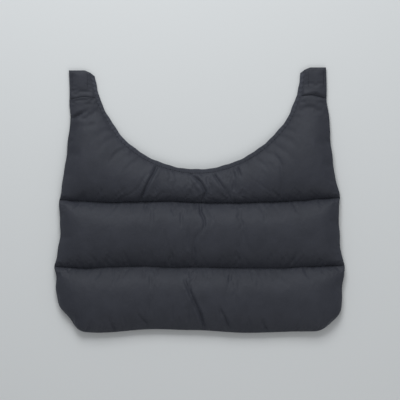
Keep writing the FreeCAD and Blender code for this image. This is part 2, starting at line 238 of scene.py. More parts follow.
# Where the columns of all channels lie, from their spacing along the yoke's top edge.
ACROSS = travelled(TOP_EDGE) / travelled(TOP_EDGE)[-1]
# The rows lie closer together beside the seams.
EVEN = np.linspace(0, 1, ROWS + 1)
UP = EVEN - 0.6 * np.sin(2 * math.pi * EVEN) / (2 * math.pi)


def seam_edge(half, y):
    """Straight seam from side to side."""
    return np.stack([(2 * ACROSS - 1) * half, np.full(len(ACROSS), y)], axis=-1)


def yoke_side():
    """Right side of the yoke, which flares from the tab to the upper seam."""
    t = np.linspace(0, 1, 60)[:, None]
    rise = FOLD_Y - UPPER_SEAM_Y
    flare = UPPER_HALF - TAB_HALF
    ends = np.array([
        [UPPER_HALF, UPPER_SEAM_Y],
        [TAB_HALF + 0.45 * flare, FOLD_Y - 0.73 * rise],
        [TAB_HALF + 0.1 * flare, FOLD_Y - 0.4 * rise],
        [TAB_HALF, FOLD_Y],
    ])
    return (
        ends[0] * (1 - t) ** 3
        + 3 * ends[1] * (1 - t) ** 2 * t
        + 3 * ends[2] * (1 - t) * t**2
        + ends[3] * t**3
    )


def waist_side():
    """Right side of the middle channel, which draws in between its seams."""
    t = np.linspace(0, 1, 40)
    x = LOWER_HALF + (UPPER_HALF - LOWER_HALF) * t - SIDE_PULL * np.sin(math.pi * t)
    return np.stack([x, LOWER_SEAM_Y + (UPPER_SEAM_Y - LOWER_SEAM_Y) * t], axis=-1)


def lower_side_and_hem():
    """Right side from the middle of a rounded corner up, and the right half of the hem."""
    centre = (HEM_HALF - CORNER_RADIUS, HEM_Y + CORNER_RADIUS)
    rounding = circle(CORNER_RADIUS, np.radians(np.linspace(45, 90, 16)), centre)
    side = np.concatenate([rounding, [[LOWER_HALF, LOWER_SEAM_Y]]])
    rounding = circle(CORNER_RADIUS, np.radians(np.linspace(0, 45, 16)), centre)
    hem = np.concatenate([[[0, HEM_Y]], rounding])
    return side, hem


def channel_plans():
    """Settled plans of the yoke, the middle channel and the lower channel."""
    upper_seam = seam_edge(UPPER_HALF, UPPER_SEAM_Y)
    lower_seam = seam_edge(LOWER_HALF, LOWER_SEAM_Y)
    upper = side_plan(upper_seam, TOP_EDGE, yoke_side())
    middle = side_plan(lower_seam, upper_seam, waist_side())
    side, hem_half = lower_side_and_hem()
    hem = np.concatenate([mirror_plan(hem_half[:0:-1]), hem_half])
    lower = side_plan(resample(hem, ACROSS), lower_seam, side)
    return {"upper": settle(upper), "middle": settle(middle), "lower": settle(lower)}


def side_plan(bottom, top, right_side):
    """Plan between two edges with the same shape at both sides."""
    right = resample(right_side, UP)
    return coons(bottom, top, mirror_plan(right), right, ACROSS, UP)


def tab_plan(side):
    """Settled plan of a tab, on the right for side 1 and on the left for -1."""
    along = np.linspace(0, 1, FOLD_COLUMNS + 1)[None, :]
    corner = np.clip(1 - along * (TAB_HALF - COVER_RADIUS) / TAB_CORNER_WIDTH, 0, 1)
    top = TAB_TOP_Y - TAB_CORNER_DROP * corner
    y = FOLD_Y + (top - FOLD_Y) * np.linspace(0, 1, TAB_ROWS + 1)[:, None]
    near = np.sqrt(COVER_RADIUS**2 - np.clip(NECK_CENTRE_Y - y, 0, None) ** 2)
    plan = np.stack([near * (1 - along) + TAB_HALF * along, y], axis=-1)
    if side < 0:
        plan = mirror_plan(plan[:, ::-1])
    return settle(plan)


# ---- heights

def seam_sway(x, sway, seam_y):
    """Where a swaying seam lies along Y."""
    return seam_y + eased_curve(x, sway)


def edge_level(plan):
    """Height of the stitched edges: level at the seams, sinking towards the tabs."""
    x = plan[..., 0]
    y = plan[..., 1]
    sink = (SEAM_Z - FOLD_Z) * smooth(y, UPPER_SEAM_Y + 45, FOLD_Y)
    to_upper = (y - seam_sway(x, UPPER_SWAY, UPPER_SEAM_Y)) / SEAM_DIP_REACH
    to_lower = (y - seam_sway(x, LOWER_SWAY, LOWER_SEAM_Y)) / SEAM_DIP_REACH
    dip = SEAM_DIP * (np.exp(-(to_upper**2)) + np.exp(-(to_lower**2)))
    return SEAM_Z - sink - dip


def grid_shares(plan):
    """Even shares of the way up and across a grid."""
    rows, columns = plan.shape[:2]
    return np.linspace(0, 1, rows)[:, None], np.linspace(0, 1, columns)[None, :]


def hump(t, power):
    """1 in the middle of a stretch and 0 at both ends."""
    return 1 - np.abs(2 * t - 1) ** power


def channel_section(t):
    """Cross-section of a channel between two seams: steep beside them and flatter between."""
    return 0.45 * hump(t, 2.15) + 0.55 * hump(t, 5.5)


def hem_section(t):
    """Cross-section of the lowest channel, fullest a little nearer the hem."""
    return channel_section(t**0.86)


def yoke_section(t):
    """Cross-section of the yoke: steep above its seam, then sinking slowly to the neck."""
    rise = 1 - np.clip(1 - t / 0.28, 0, 1) ** 3
    fall = 1 - np.clip((t - 0.28) / 0.72, 0, 1) ** 1.7
    return rise * fall


def channel_rise(plan, section):
    """Swell of a channel's cover above its edges, before it is inflated."""
    length = np.linalg.norm(plan[-1] - plan[0], axis=-1)
    fullness = np.clip(length / 95.0, 0, 1) ** 0.7
    flat_shoulder = 1 - 0.4 * smooth(plan[..., 1], FOLD_Y - 50, FOLD_Y - 2)
    swell = START_SHARE * CROWN * fullness[None, :] * flat_shoulder
    return swell * section(UP[:, None]) * hump(ACROSS[None, :], SIDE_POWER)


def tab_rise(plan):
    """Swell of a tab above its edges: soft by the fold, flat and stiff above it."""
    v, u = grid_shares(plan)
    soft = np.where(plan[..., 0] > 0, 1.6, 0.5)
    swell = 1.2 + soft * (1 - smooth(v, 0.05, 0.45))
    return swell * np.clip(3.0 * hump(v, 2), 0, 1) * hump(u, 6)


def strap_swell(plan):
    """How far the cover stands above the stitched edges where the stop stitching crosses a strap."""
    x = plan[..., 0] + YOKE_SHIFT - tab_lean(plan[..., 0], FOLD_Y)
    above = plan[..., 1] - FOLD_Y - tab_sway(x) - fold_wave(x)
    spread = 1 - np.where(above > 0, smooth(above, 0, 8), smooth(-above, 1, 34))
    drawn = 1 - np.where(x > 0, 0.32, -0.38) * np.exp(-((above / 2.4) ** 2))
    sides = smooth(np.abs(x), 149, 157) * (1 - smooth(np.abs(x), TAB_HALF - 9, TAB_HALF))
    tight = 1 - 0.45 * smooth(x, 158, 176)
    return STRAP_RISE * tight * sides * spread * drawn


def raised(plan, height):
    """Points over a plan at a height."""
    return np.concatenate([plan, height[..., None]], axis=-1)


# ---- meshes

def quads_between(index):
    """Quads of a grid of point numbers, facing up for rows towards +Y and columns towards +X."""
    quads = [index[:-1, :-1], index[:-1, 1:], index[1:, 1:], index[1:, :-1]]
    return np.stack(quads, axis=-1).reshape(-1, 4)


def grid_quads(rows, columns, start=0):
    """Quads of a grid whose points are numbered row by row from start."""
    return quads_between(np.arange(rows * columns).reshape(rows, columns) + start)


def border(rows, columns):
    """Point numbers round the edge of a grid, in a loop that turns left."""
    index = np.arange(rows * columns).reshape(rows, columns)
    return np.concatenate([index[0, :-1], index[:-1, -1], index[-1, :0:-1], index[:0:-1, 0]])


def add_object(name, data):
    """Put a mesh, lamp or camera in the scene."""
    item = bpy.data.objects.new(name, data)
    bpy.context.scene.collection.objects.link(item)
    return item


def new_object(name, points, faces, flat_from=None):
    """Mesh object from points in millimetres. Faces from number flat_from on are shaded flat."""
    mesh = bpy.data.meshes.new(name)
    mesh.from_pydata((np.asarray(points) * MM).tolist(), [], [list(map(int, face)) for face in faces])
    smooth_faces = np.ones(len(mesh.polygons), bool)
    if flat_from is not None:
        smooth_faces[flat_from:] = False
    mesh.polygons.foreach_set("use_smooth", smooth_faces)
    mesh.validate()
    return add_object(name, mesh)


def cloth_shell(name, outside, inside):
    """Closed ply of cloth between two grids of points, of which outside is the upper one."""
    rows, columns = outside.shape[:2]
    count = rows * columns
    top = grid_quads(rows, columns)
    under = grid_quads(rows, columns, count)[:, ::-1]
    loop = border(rows, columns)
    ahead = np.roll(loop, -1)
    rim = np.stack([loop, loop + count, ahead + count, ahead], axis=-1)
    points = np.concatenate([outside.reshape(-1, 3), inside.reshape(-1, 3)])
    faces = np.concatenate([top, under, rim])
    return new_object(name, points, faces, flat_from=len(top) + len(under))


def grid_normals(points):
    """Unit normals of a grid of points, up for rows towards +Y."""
    along_rows = np.gradient(points, axis=0)
    along_columns = np.gradient(points, axis=1)
    normals = np.cross(along_columns, along_rows)
    return normals / np.maximum(np.linalg.norm(normals, axis=-1, keepdims=True), 1e-9)


def doubled(values, axis):
    """Grid with a smooth point halfway between each two along an axis."""
    values = np.moveaxis(values, axis, 0)
    before = np.concatenate([2 * values[:1] - values[1:2], values[:-2]])
    after = np.concatenate([values[2:], 2 * values[-1:] - values[-2:-1]])
    halfway = (9 * (values[:-1] + values[1:]) - before - after) / 16
    fine = np.empty((2 * len(values) - 1, *values.shape[1:]))
    fine[::2] = values
    fine[1::2] = halfway
    return np.moveaxis(fine, 0, axis)


def refined(points):
    """Grid with twice the rows and four times the columns."""
    return doubled(doubled(doubled(points, 0), 1), 1)


# ---- the cover, inflated

PRESSURE = 60.0
CLOTH_FRAMES = 22
START_SHARE = 0.86  # share of a channel's height that it has before it is inflated
SWELL_CAP = 5.0  # most that a point moves
SEAM_EASE = -0.008  # below 0 the cloth is a little larger than its plan
SECTIONS = {"upper": yoke_section, "middle": channel_section, "lower": hem_section}


def joined_indices(plans):
    """Point numbers of each panel in one mesh, where neighbours share the points of a seam."""
    numbers = {}
    count = 0
    links = {
        "lower": None,
        "middle": ("lower", slice(None)),
        "upper": ("middle", slice(None)),
        "left": ("upper", slice(0, FOLD_COLUMNS + 1)),
        "right": ("upper", slice(-FOLD_COLUMNS - 1, None)),
    }
    for name, link in links.items():
        rows, columns = plans[name].shape[:2]
        index = np.empty((rows, columns), int)
        first = 0
        if link:
            index[0] = numbers[link[0]][-1, link[1]]
            first = 1
        fresh = (rows - first) * columns
        index[first:] = np.arange(count, count + fresh).reshape(rows - first, columns)
        count += fresh
        numbers[name] = index
    return numbers, count


def start_cover(plans):
    """The cover of every panel before it is inflated."""
    start = {}
    for name, plan in plans.items():
        if name in ("left", "right"):
            rise = tab_rise(plan)
        else:
            rise = channel_rise(plan, SECTIONS[name])
        start[name] = raised(plan, edge_level(plan) + CLOTH + rise + strap_swell(plan))
    return start


def inflate(start):
    """Pressure swells the cover between its stitched edges, and slack cloth gathers along them."""
    numbers, count = joined_indices(start)
    points = np.zeros((count, 3))
    pinned = np.zeros(count, bool)
    quads = []
    for name, index in numbers.items():
        points[index] = start[name]
        quads.append(quads_between(index))
        edges = [index[0], index[:, 0], index[:, -1], index[-1]]
        pinned[np.concatenate(edges)] = True
    cover = new_object("inflating_cover", points, np.concatenate(quads))
    group = cover.vertex_groups.new(name="stitched")
    group.add([int(number) for number in np.flatnonzero(pinned)], 1.0, "REPLACE")
    cloth = cover.modifiers.new("Cloth", "CLOTH")
    settings = cloth.settings
    settings.quality = 6
    settings.mass = 0.05
    settings.tension_stiffness = 12
    settings.compression_stiffness = 12
    settings.shear_stiffness = 4
    settings.bending_stiffness = 0.15
    settings.air_damping = 2.0
    settings.use_pressure = True
    settings.uniform_pressure_force = PRESSURE
    settings.vertex_group_mass = "stitched"
    settings.shrink_min = SEAM_EASE
    settings.effector_weights.gravity = 0
    cloth.collision_settings.use_collision = False
    cloth.collision_settings.use_self_collision = False
    cloth.point_cache.frame_start = 1
    cloth.point_cache.frame_end = CLOTH_FRAMES
    scene = bpy.context.scene
    for number in range(1, CLOTH_FRAMES + 1):
        scene.frame_set(number)
    evaluated = cover.evaluated_get(bpy.context.evaluated_depsgraph_get())
    settled = np.empty(count * 3)
    evaluated.data.vertices.foreach_get("co", settled)
    settled = settled.reshape(-1, 3) / MM
    scene.frame_set(1)
    mesh = cover.data
    bpy.data.objects.remove(cover)
    bpy.data.meshes.remove(mesh)
    move = settled - points
    distance = np.linalg.norm(move, axis=-1, keepdims=True)
    move = move * np.tanh(distance / SWELL_CAP) * SWELL_CAP / np.maximum(distance, 1e-9)
    points = points + move
    return {name: points[index] for name, index in numbers.items()}


# ---- folds, puckers and crinkles

# Each crease: the line that its bottom follows, its depth, its half width, and how much of the
# depth is left at its two ends.
CREASES = [
    ([(-62, 48), (-73, 27), (-85, 1)], 3.8, 2.3, 1.0, 0.8),
    ([(-13, 39), (1, 26), (9, 12), (5, 0)], 3.6, 2.4, 0.8, 1.0),
    ([(20, 39), (27, 28), (35, 16)], 3.4, 2.5, 0.9, 0.4),
    ([(47, 42), (52, 28), (50, 14)], 2.4, 4.6, 0.5, 0.3),
    ([(54, 48), (60, 34)], 3.0, 2.2, 1.0, 0.3),
    ([(107, 70), (118, 52), (120, 28), (118, 2)], 2.0, 4.4, 0.5, 0.6),
    ([(-28, 40), (-36, 22), (-42, 3)], 1.1, 4.5, 0.2, 0.9),
    ([(-116, 24), (-108, 2)], 1.2, 4.5, 0.2, 0.8),
    ([(40, 14), (44, 2)], 1.6, 2.4, 0.4, 1.0),
    ([(-188, 117.5), (-180, 121), (-172, 125.5), (-163, 129)], 5.0, 2.4, 1.0, 0.3),
    ([(-176, 110), (-165, 107), (-152, 109)], 3.4, 3.4, 0.3, 0.5),
    ([(-189, 84), (-180, 91)], 2.6, 2.6, 1.0, 0.1),
    ([(191, 84), (180, 91)], 3.2, 2.8, 1.0, 0.1),
    ([(1, -7), (2, -18), (6.5, -27), (7.3, -36), (4, -47)], 3.2, 2.2, 0.9, 0.4),
    ([(0, -46), (-5, -54), (-8, -63), (-10, -80), (-7, -94)], 1.8, 2.8, 0.7, 0.6),
    ([(57, -20), (63, -46), (73, -77)], 1.3, 4.2, 0.3, 0.5),
    ([(142, -72), (135, -90)], 1.6, 3.2, 0.3, 1.0),
    ([(-77, -6), (-86, -30)], 1.2, 4.0, 0.9, 0.2),
    ([(-130, -74), (-136, -92)], 1.0, 3.6, 0.2, 1.0),
    ([(-22, -116), (-9, -144), (1, -165), (7, -184)], 4.6, 2.5, 0.4, 1.0),
    ([(28, -156), (36, -170), (43, -184)], 3.4, 2.5, 0.3, 1.0),
    ([(46, -103), (43, -120), (38, -138)], 1.5, 3.6, 0.8, 0.2),
    ([(-91, -164), (-77, -179)], 2.5, 2.8, 0.3, 1.0),
    ([(-134, -170), (-124, -186)], 2.0, 3.2, 0.2, 1.0),
    ([(88, -172), (98, -188)], 2.8, 2.8, 0.2, 1.0),
]
# Creases that also move a strap's stitched edge.
STRAP_CREASES = [
    ([(164, 153.4), (177, 151), (188, 147.5)], 1.5, 2.2, 0.2, 1.0),
    ([(-188, 156), (-178, 160), (-166, 158)], 0.8, 2.6, 0.9, 0.2),
]
TAB_CREASES = [
    ([(-188, 158), (-172, 163)], 0.5, 2.6, 0.8, 0.2),
    ([(166, 190), (168, 168)], 0.4, 2.4, 0.6, 0.3),
]


def seam_puckers(seam_y, sway, half_width, direction, count, longest):
    """Short gathers that run off a quilt seam on one side of it."""
    puckers = []
    places = (np.arange(count) + rng.uniform(0.15, 0.85, count)) / count
    for x in (2 * places - 1) * (half_width - 6):
        start = float(seam_sway(np.array([x]), sway, seam_y)[0])
        length = rng.uniform(0.35, 1.0) * longest
        lean = rng.uniform(-0.3, 0.3) * length
        path = [(x, start + direction * 1.5), (x + lean, start + direction * length)]
        depth = 0.15 + 0.85 * rng.uniform(0, 1) ** 2
        puckers.append((path, depth, rng.uniform(1.8, 3.0), 1.0, 0.0))
    return puckers


def distance_to_path(x, y, path):
    """Distance from points to a polyline, and the share of its length that lies nearest."""
    path = np.asarray(path, float)
    travel = travelled(path)
    nearest = np.full(x.shape, np.inf)
    along = np.zeros(x.shape)
    for start, end, before in zip(path, path[1:], travel):
        length = np.linalg.norm(end - start)
        step = (end - start) / length
        t = np.clip((x - start[0]) * step[0] + (y - start[1]) * step[1], 0, length)
        away = np.hypot(x - start[0] - t * step[0], y - start[1] - t * step[1])
        closer = away < nearest
        nearest = np.where(closer, away, nearest)
        along = np.where(closer, (before + t) / travel[-1], along)
    return nearest, along


def crease_relief(x, y, creases):
    """Depth of all creases at points of the plan: below 0 in a crease and above 0 on its lips."""
    relief = np.zeros(x.shape)
    for path, depth, width, first, last in creases:
        away, along = distance_to_path(x, y, path)
        strength = first + (last - first) * along
        strength = strength * np.minimum(1, 0.45 + 4 * np.minimum(along, 1 - along))
        valley = -0.55 * np.exp(-((away / width) ** 2)) - 0.45 * np.exp(-((2 * away / width) ** 2))
        lip = 0.26 * np.exp(-(((away - 2.1 * width) / (1.3 * width)) ** 2))
        relief += depth * strength * (valley + lip)
    return relief


def ripple(x, y, length, waves, seed):
    """Gentle uneven waves of about one length, from -1 to 1."""
    random = np.random.default_rng(seed)
    total = np.zeros(np.shape(x))
    for _ in range(waves):
        heading = random.uniform(0, 2 * math.pi)
        pitch = 2 * math.pi / (length * random.uniform(0.7, 1.4))
        phase = random.uniform(0, 2 * math.pi)
        total = total + np.sin(pitch * (x * math.cos(heading) + y * math.sin(heading)) + phase)
    return total / math.sqrt(waves) / 1.6


def all_puckers():
    """Gathers on both sides of both quilt seams and along the hem."""
    runs = [
        (UPPER_SEAM_Y, UPPER_SWAY, UPPER_HALF, 1, 20, 18),
        (UPPER_SEAM_Y, UPPER_SWAY, UPPER_HALF, -1, 15, 13),
        (LOWER_SEAM_Y, LOWER_SWAY, LOWER_HALF, 1, 20, 16),
        (LOWER_SEAM_Y, LOWER_SWAY, LOWER_HALF, -1, 15, 12),
        (HEM_Y, HEM_SWAY, HEM_HALF - CORNER_RADIUS, 1, 14, 14),
    ]
    return [pucker for run in runs for pucker in seam_puckers(*run)]


def neck_puckers():
    """Short gathers that run off the topstitched neck edge."""
    count = 15
    limit = fold_angle(COVER_RADIUS)
    puckers = []
    for place in (np.arange(count) + rng.uniform(0.2, 0.8, count)) / count:
        angle = np.array([limit * (2 * place - 1)])
        near = settle(circle(COVER_RADIUS + 1.0, angle, NECK_CENTRE))[0]
        radius = COVER_RADIUS + rng.uniform(6, 13)
        far = settle(circle(radius, angle + rng.uniform(-0.02, 0.02), NECK_CENTRE))[0]
        depth = rng.uniform(0.12, 0.55)
        puckers.append(([near, far], depth, rng.uniform(1.6, 2.6), 1.0, 0.0))
    return puckers


PUCKERS = all_puckers() + neck_puckers()


def edge_share(points, row_reach, column_reach=None):
    """0 on the edge of a grid, rising to 1 a few points in, so that stitched edges stay put."""
    rows, columns = points.shape[:2]
    v = np.minimum(np.arange(rows), np.arange(rows)[::-1])[:, None]
    u = np.minimum(np.arange(columns), np.arange(columns)[::-1])[None, :]
    return np.clip(v / row_reach, 0, 1) * np.clip(u / (column_reach or row_reach), 0, 1)


def creased(points, creases, softness):
    """Fine grid of a cover with its creases, gathers and crinkles."""
    fine = refined(points)
    x = fine[..., 0]
    y = fine[..., 1]
    relief = crease_relief(x, y, creases)
    relief += softness * (0.75 * ripple(x, y, 42, 14, 3) + 0.28 * ripple(x, y, 15, 18, 4))
    relief += 0.10 * softness * ripple(x, y, 6.5, 22, 5)
    relief = relief * edge_share(fine, 3, 6)
    result = fine + grid_normals(fine) * relief[..., None]
    result[..., 2] += crease_relief(x, y, STRAP_CREASES)
    return result


# ---- materials

def new_material(name):
    """Empty node material with its shader."""
    material = bpy.data.materials.new(name)
    material.use_nodes = True
    tree = material.node_tree
    return material, tree, tree.nodes["Principled BSDF"]


def set_inputs(node, values):
    """Give a shader node its input values."""
    for key, value in values.items():
        node.inputs[key].default_value = value


def add_node(tree, kind, **values):
    """Shader node with its settings and input values."""
    node = tree.nodes.new(kind)
    for key, value in values.items():
        if key in node.inputs:
            node.inputs[key].default_value = value
        else:
            setattr(node, key, value)
    return node


def dye_cloth(tree, shader, fibre, dark, light, spread=0.5):
    """Colour between two shades, by a texture's value within a spread about its middle."""
    ramp = add_node(tree, "ShaderNodeValToRGB")
    shades = ramp.color_ramp.elements
    for shade, place, colour in ((shades[0], 0.5 - spread, dark), (shades[1], 0.5 + spread, light)):
        shade.position = place
        shade.color = (*colour, 1)
    tree.links.new(fibre.outputs["Fac"], ramp.inputs["Fac"])
    tree.links.new(ramp.outputs["Color"], shader.inputs["Base Color"])


def add_bump(tree, height, depth):
    """Relief of a depth in millimetres, from a texture's output."""
    bump = add_node(tree, "ShaderNodeBump", Strength=1.0, Distance=depth * MM)
    tree.links.new(height, bump.inputs["Height"])
    return bump


def woven(name, dark, light, roughness, sheen, thread_mm, weave_depth, crinkle_depth):
    """Plain-woven cloth: two crossing sets of threads, fine crinkles and uneven dye."""
    material, tree, shader = new_material(name)
    place = add_node(tree, "ShaderNodeTexCoord").outputs["Object"]
    dye = add_node(tree, "ShaderNodeTexNoise", Scale=38.0, Detail=4.0, Roughness=0.6)
    tree.links.new(place, dye.inputs["Vector"])
    dye_cloth(tree, shader, dye, dark, light, 0.18)

    threads = []
    for direction in ("X", "Y"):
        wave = add_node(
            tree, "ShaderNodeTexWave", bands_direction=direction, Scale=0.314 / (thread_mm * MM),
            Distortion=0.6, Detail=1.0,
        )
        tree.links.new(place, wave.inputs["Vector"])
        threads.append(wave.outputs["Fac"])
    weave = add_node(tree, "ShaderNodeMath", operation="MULTIPLY")
    tree.links.new(threads[0], weave.inputs[0])
    tree.links.new(threads[1], weave.inputs[1])
    crinkle = add_node(
        tree, "ShaderNodeTexNoise", Scale=210.0, Detail=5.0, Roughness=0.62, Distortion=0.7,
    )
    tree.links.new(place, crinkle.inputs["Vector"])

    wrinkles = add_bump(tree, crinkle.outputs["Fac"], crinkle_depth)
    cloth = add_bump(tree, weave.outputs["Value"], weave_depth)
    tree.links.new(wrinkles.outputs["Normal"], cloth.inputs["Normal"])
    tree.links.new(cloth.outputs["Normal"], shader.inputs["Normal"])

    rough = add_node(tree, "ShaderNodeMapRange")
    set_inputs(rough, {"To Min": roughness - 0.06, "To Max": roughness + 0.06})
    tree.links.new(crinkle.outputs["Fac"], rough.inputs["Value"])
    tree.links.new(rough.outputs["Result"], shader.inputs["Roughness"])
    set_inputs(shader, {
        "Sheen Weight": sheen, "Sheen Roughness": 0.5, "Sheen Tint": (0.75, 0.82, 1.0, 1),
        "Specular IOR Level": 0.35,
    })
    return material


def fuzzy(name, dark, light, roughness, depth, scale):
    """Loose fibres: wadding, thread and hook pile."""
    material, tree, shader = new_material(name)
    place = add_node(tree, "ShaderNodeTexCoord").outputs["Object"]
    fibre = add_node(tree, "ShaderNodeTexNoise", Scale=scale, Detail=6.0, Roughness=0.7)
    tree.links.new(place, fibre.inputs["Vector"])
    dye_cloth(tree, shader, fibre, dark, light)
    relief = add_bump(tree, fibre.outputs["Fac"], depth)
    tree.links.new(relief.outputs["Normal"], shader.inputs["Normal"])
    set_inputs(shader, {"Roughness": roughness, "Specular IOR Level": 0.3})
    return material


# Dark and light shade of each material.
SHELL = ((0.0222, 0.0234, 0.0315), (0.0295, 0.0308, 0.0405))
TAPE = ((0.0300, 0.0318, 0.0420), (0.0410, 0.0432, 0.0560))
LINING = ((0.016, 0.017, 0.02), (0.024, 0.025, 0.029))
FIBRE = ((0.6, 0.6, 0.58), (0.78, 0.78, 0.76))
THREAD = ((0.010, 0.011, 0.014), (0.019, 0.021, 0.026))
HOOKS = ((0.008, 0.008, 0.009), (0.016, 0.016, 0.018))
MATERIALS = {
    "shell_nylon": woven("shell_nylon", *SHELL, 0.62, 0.12, 0.45, 0.05, 0.35),
    "binding": woven("binding_tape", *TAPE, 0.66, 0.15, 0.6, 0.09, 0.25),
    "lining": woven("lining_cloth", *LINING, 0.7, 0.1, 0.8, 0.08, 0.3),
    "wadding": fuzzy("wadding_fibre", *FIBRE, 0.95, 0.8, 260.0),
    "thread": fuzzy("stitch_thread", *THREAD, 0.75, 0.08, 3000.0),
    "hook_tape": fuzzy("hook_tape_nylon", *HOOKS, 0.5, 0.06, 2500.0),
}


def finish_piece(piece, slot):
    """Give a piece the material of one of the record's slots."""
    piece.data.materials.append(MATERIALS[slot])
    return piece


# ---- where cloth bends at a fold

BEND = 9.0  # reach in which cloth turns at a quilt seam
TAB_BEND = 7.0  # the same at a tab's fold
BEND_GAP = 1.0  # from there to the wadding
UPPER_BEND_START = UPPER_SEAM_Y - 3.2
LOWER_BEND_START = LOWER_SEAM_Y - 2.4
TAB_BEND_START = FOLD_Y + 2.8


def attach(piece, panel):
    """A piece of the yoke moves with the upper panel; a piece of any other panel only has its placement baked
    into its mesh.
    """
    if panel == "upper":
        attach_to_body(piece, "upper_panel")
    elif panel == "middle":
        bend(piece)
    elif panel == "lower":
        bend(piece)
    else:
        bend(piece)
    return piece


def bend(piece):
    """Bake a piece's placement into its mesh."""
    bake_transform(piece)


# ---- covers, linings and wadding

def node_prefix(panel):
    """How the CAD nodes of a panel are named."""
    return f"{panel}_tab" if panel in ("left", "right") else panel


def inner_side(outside, thickness):
    """Grid one ply inside another, straight below it at the stitched edges."""
    normals = grid_normals(outside)
    share = edge_share(outside, 4, 8)[..., None]
    direction = normals * share + np.array([0.0, 0.0, 1.0]) * (1 - share)
    direction = direction / np.linalg.norm(direction, axis=-1, keepdims=True)
    return outside - direction * thickness


def make_cover(panel, outside):
    """Quilted shell cloth of one panel."""
    prefix = node_prefix(panel)
    piece = cloth_shell(f"{prefix}_shell_cloth", outside, inner_side(outside, CLOTH))
    finish_piece(piece, "shell_nylon")
    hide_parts(f"{prefix}_cover")
    return attach(piece, panel)


def lining_grid(panel, plan):
    """Outside of the lining: it lies flat under a channel and rises to the stitched edges."""
    edge = edge_level(plan) - CLOTH
    if panel in ("left", "right"):
        floor = TAB_FLOOR
        v, u = grid_shares(plan)
    else:
        floor = 0.0
        v = UP[:, None]
        u = ACROSS[None, :]
    drop = np.clip(1.35 * hump(v, 3) * hump(u, SIDE_POWER), 0, 1)
    x = plan[..., 0]
    y = plan[..., 1]
    wrinkle = 0.35 * ripple(x, y, 24, 16, 8) + 0.2 * ripple(x, y, 9, 16, 9)
    height = edge - (edge - floor) * drop + (wrinkle + 0.25) * edge_share(plan, 3)
    return raised(plan, np.maximum(height, floor))


def make_lining(panel, outside, inside):
    """Lining of one panel, which the pad lies on."""
    prefix = node_prefix(panel)
    piece = cloth_shell(f"{prefix}_lining", inside, outside)
    finish_piece(piece, "lining")
    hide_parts(f"{prefix}_backing")
    attach(piece, panel)


def held_off(cover, inside):
    """Cover kept off the lining where a crease is deep."""
    least = refined(inside)[..., 2] + CLOTH + 0.4 * edge_share(cover, 3, 6)
    result = cover.copy()
    result[..., 2] = np.maximum(cover[..., 2], least)
    return result


def clear_of_bend(panel, grid):
    """Rows of a grid that lie past the reach in which the panel bends."""
    low = grid[..., 1].min(axis=1)
    high = grid[..., 1].max(axis=1)
    if panel == "upper":
        return np.ones(len(grid), bool)
    if panel == "middle":
        return high < UPPER_BEND_START - BEND - BEND_GAP
    if panel == "lower":
        return high < LOWER_BEND_START - BEND - BEND_GAP
    return low > TAB_BEND_START + TAB_BEND + BEND_GAP


def make_wadding(panel, cover, lining):
    """Batt of fibre between the lining and the cover, which ends short of the fold."""
    prefix = node_prefix(panel)
    floor = lining[1:-1, 1:-1]
    kept = clear_of_bend(panel, floor)
    roof = cover[..., 2]
    for step in (1, 2):
        for axis in (0, 1):
            beside = np.minimum(np.roll(roof, step, axis), np.roll(roof, -step, axis))
            roof = np.minimum(roof, beside)
    room = np.maximum(roof[2:-2:2, 4:-4:4] - CLOTH - floor[..., 2], 0.2)
    low = floor.copy()
    low[..., 2] += np.minimum(0.3, 0.2 * room)
    high = cover[2:-2:2, 4:-4:4].copy()
    high[..., 2] = floor[..., 2] + np.maximum(0.4 * room, room - 1.5)
    piece = cloth_shell(f"{prefix}_wadding", high[kept], low[kept])
    finish_piece(piece, "wadding")
    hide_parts(f"{prefix}_fill")
    attach(piece, panel)


# ---- bindings

BAND_HALF = 1.0
BAND_REACH = NECK_RADIUS + BINDING_WIDTH + 0.2
BAND_SECTION = [
    (1.0, -0.15), (0.97, 0.75), (0.86, 0.98), (0.72, 0.86), (0.5, 1.0), (0.1, 1.02), (-0.4, 1.04),
    (-0.8, 1.0), (-0.96, 0.66), (-1.0, 0.0), (-0.96, -0.66), (-0.8, -1.0), (-0.4, -1.02),
    (0.3, -1.0), (0.86, -0.96), (0.97, -0.7),
]


def band_strip(name, near, far, level, seed):
    """Folded tape between two rows of points on the plan, about a height."""
    random = np.random.default_rng(seed)
    count = len(near)
    travel = travelled(near)
    wander = 0.22 * np.sin(travel / 7.3 + random.uniform(0, 6)) + 0.16 * np.sin(travel / 3.1 + 1.0)
    puff = 1 + 0.22 * np.sin(travel / 1.05 + 0.8 * np.sin(travel / 9.0)) + 0.1 * np.sin(travel / 3.3)
    middle = (near + far) / 2
    half = (far - near) / 2
    unit = half / np.linalg.norm(half, axis=1, keepdims=True)
    rings = []
    for across, height in BAND_SECTION:
        plan = middle + half * across + unit * (wander * max(0, -across) + 0.4 * wander)[:, None]
        rise = BAND_HALF * height * np.where(np.abs(across) < 0.9, puff, 1.0)
        rings.append(np.concatenate([plan, (level + rise)[:, None]], axis=1))
    points = np.stack(rings, axis=1)
    around = len(BAND_SECTION)
    index = np.arange(count * around).reshape(count, around)
    beside = np.roll(index, -1, axis=1)
    faces = np.stack([index[:-1], beside[:-1], beside[1:], index[1:]], axis=-1).reshape(-1, 4).tolist()
    sides = len(faces)
    faces += [index[0, ::-1].tolist(), index[-1].tolist()]
    piece = new_object(name, points.reshape(-1, 3), faces, flat_from=sides)
    return finish_piece(piece, "binding")


def neck_rows(radius, count):
    """Settled points round the neck at a radius, from the left fold line to the right one."""
    limit = fold_angle(radius)
    return settle(circle(radius, np.linspace(-limit, limit, count), NECK_CENTRE))


def tab_rows(radius, side, end_y, count):
    """Settled points up the inner edge of a tab at a radius."""
    heights = np.linspace(FOLD_Y, end_y, count)
    drop = np.clip(NECK_CENTRE_Y - heights, 0, None)
    return settle(np.stack([side * np.sqrt(radius**2 - drop**2), heights], axis=-1))


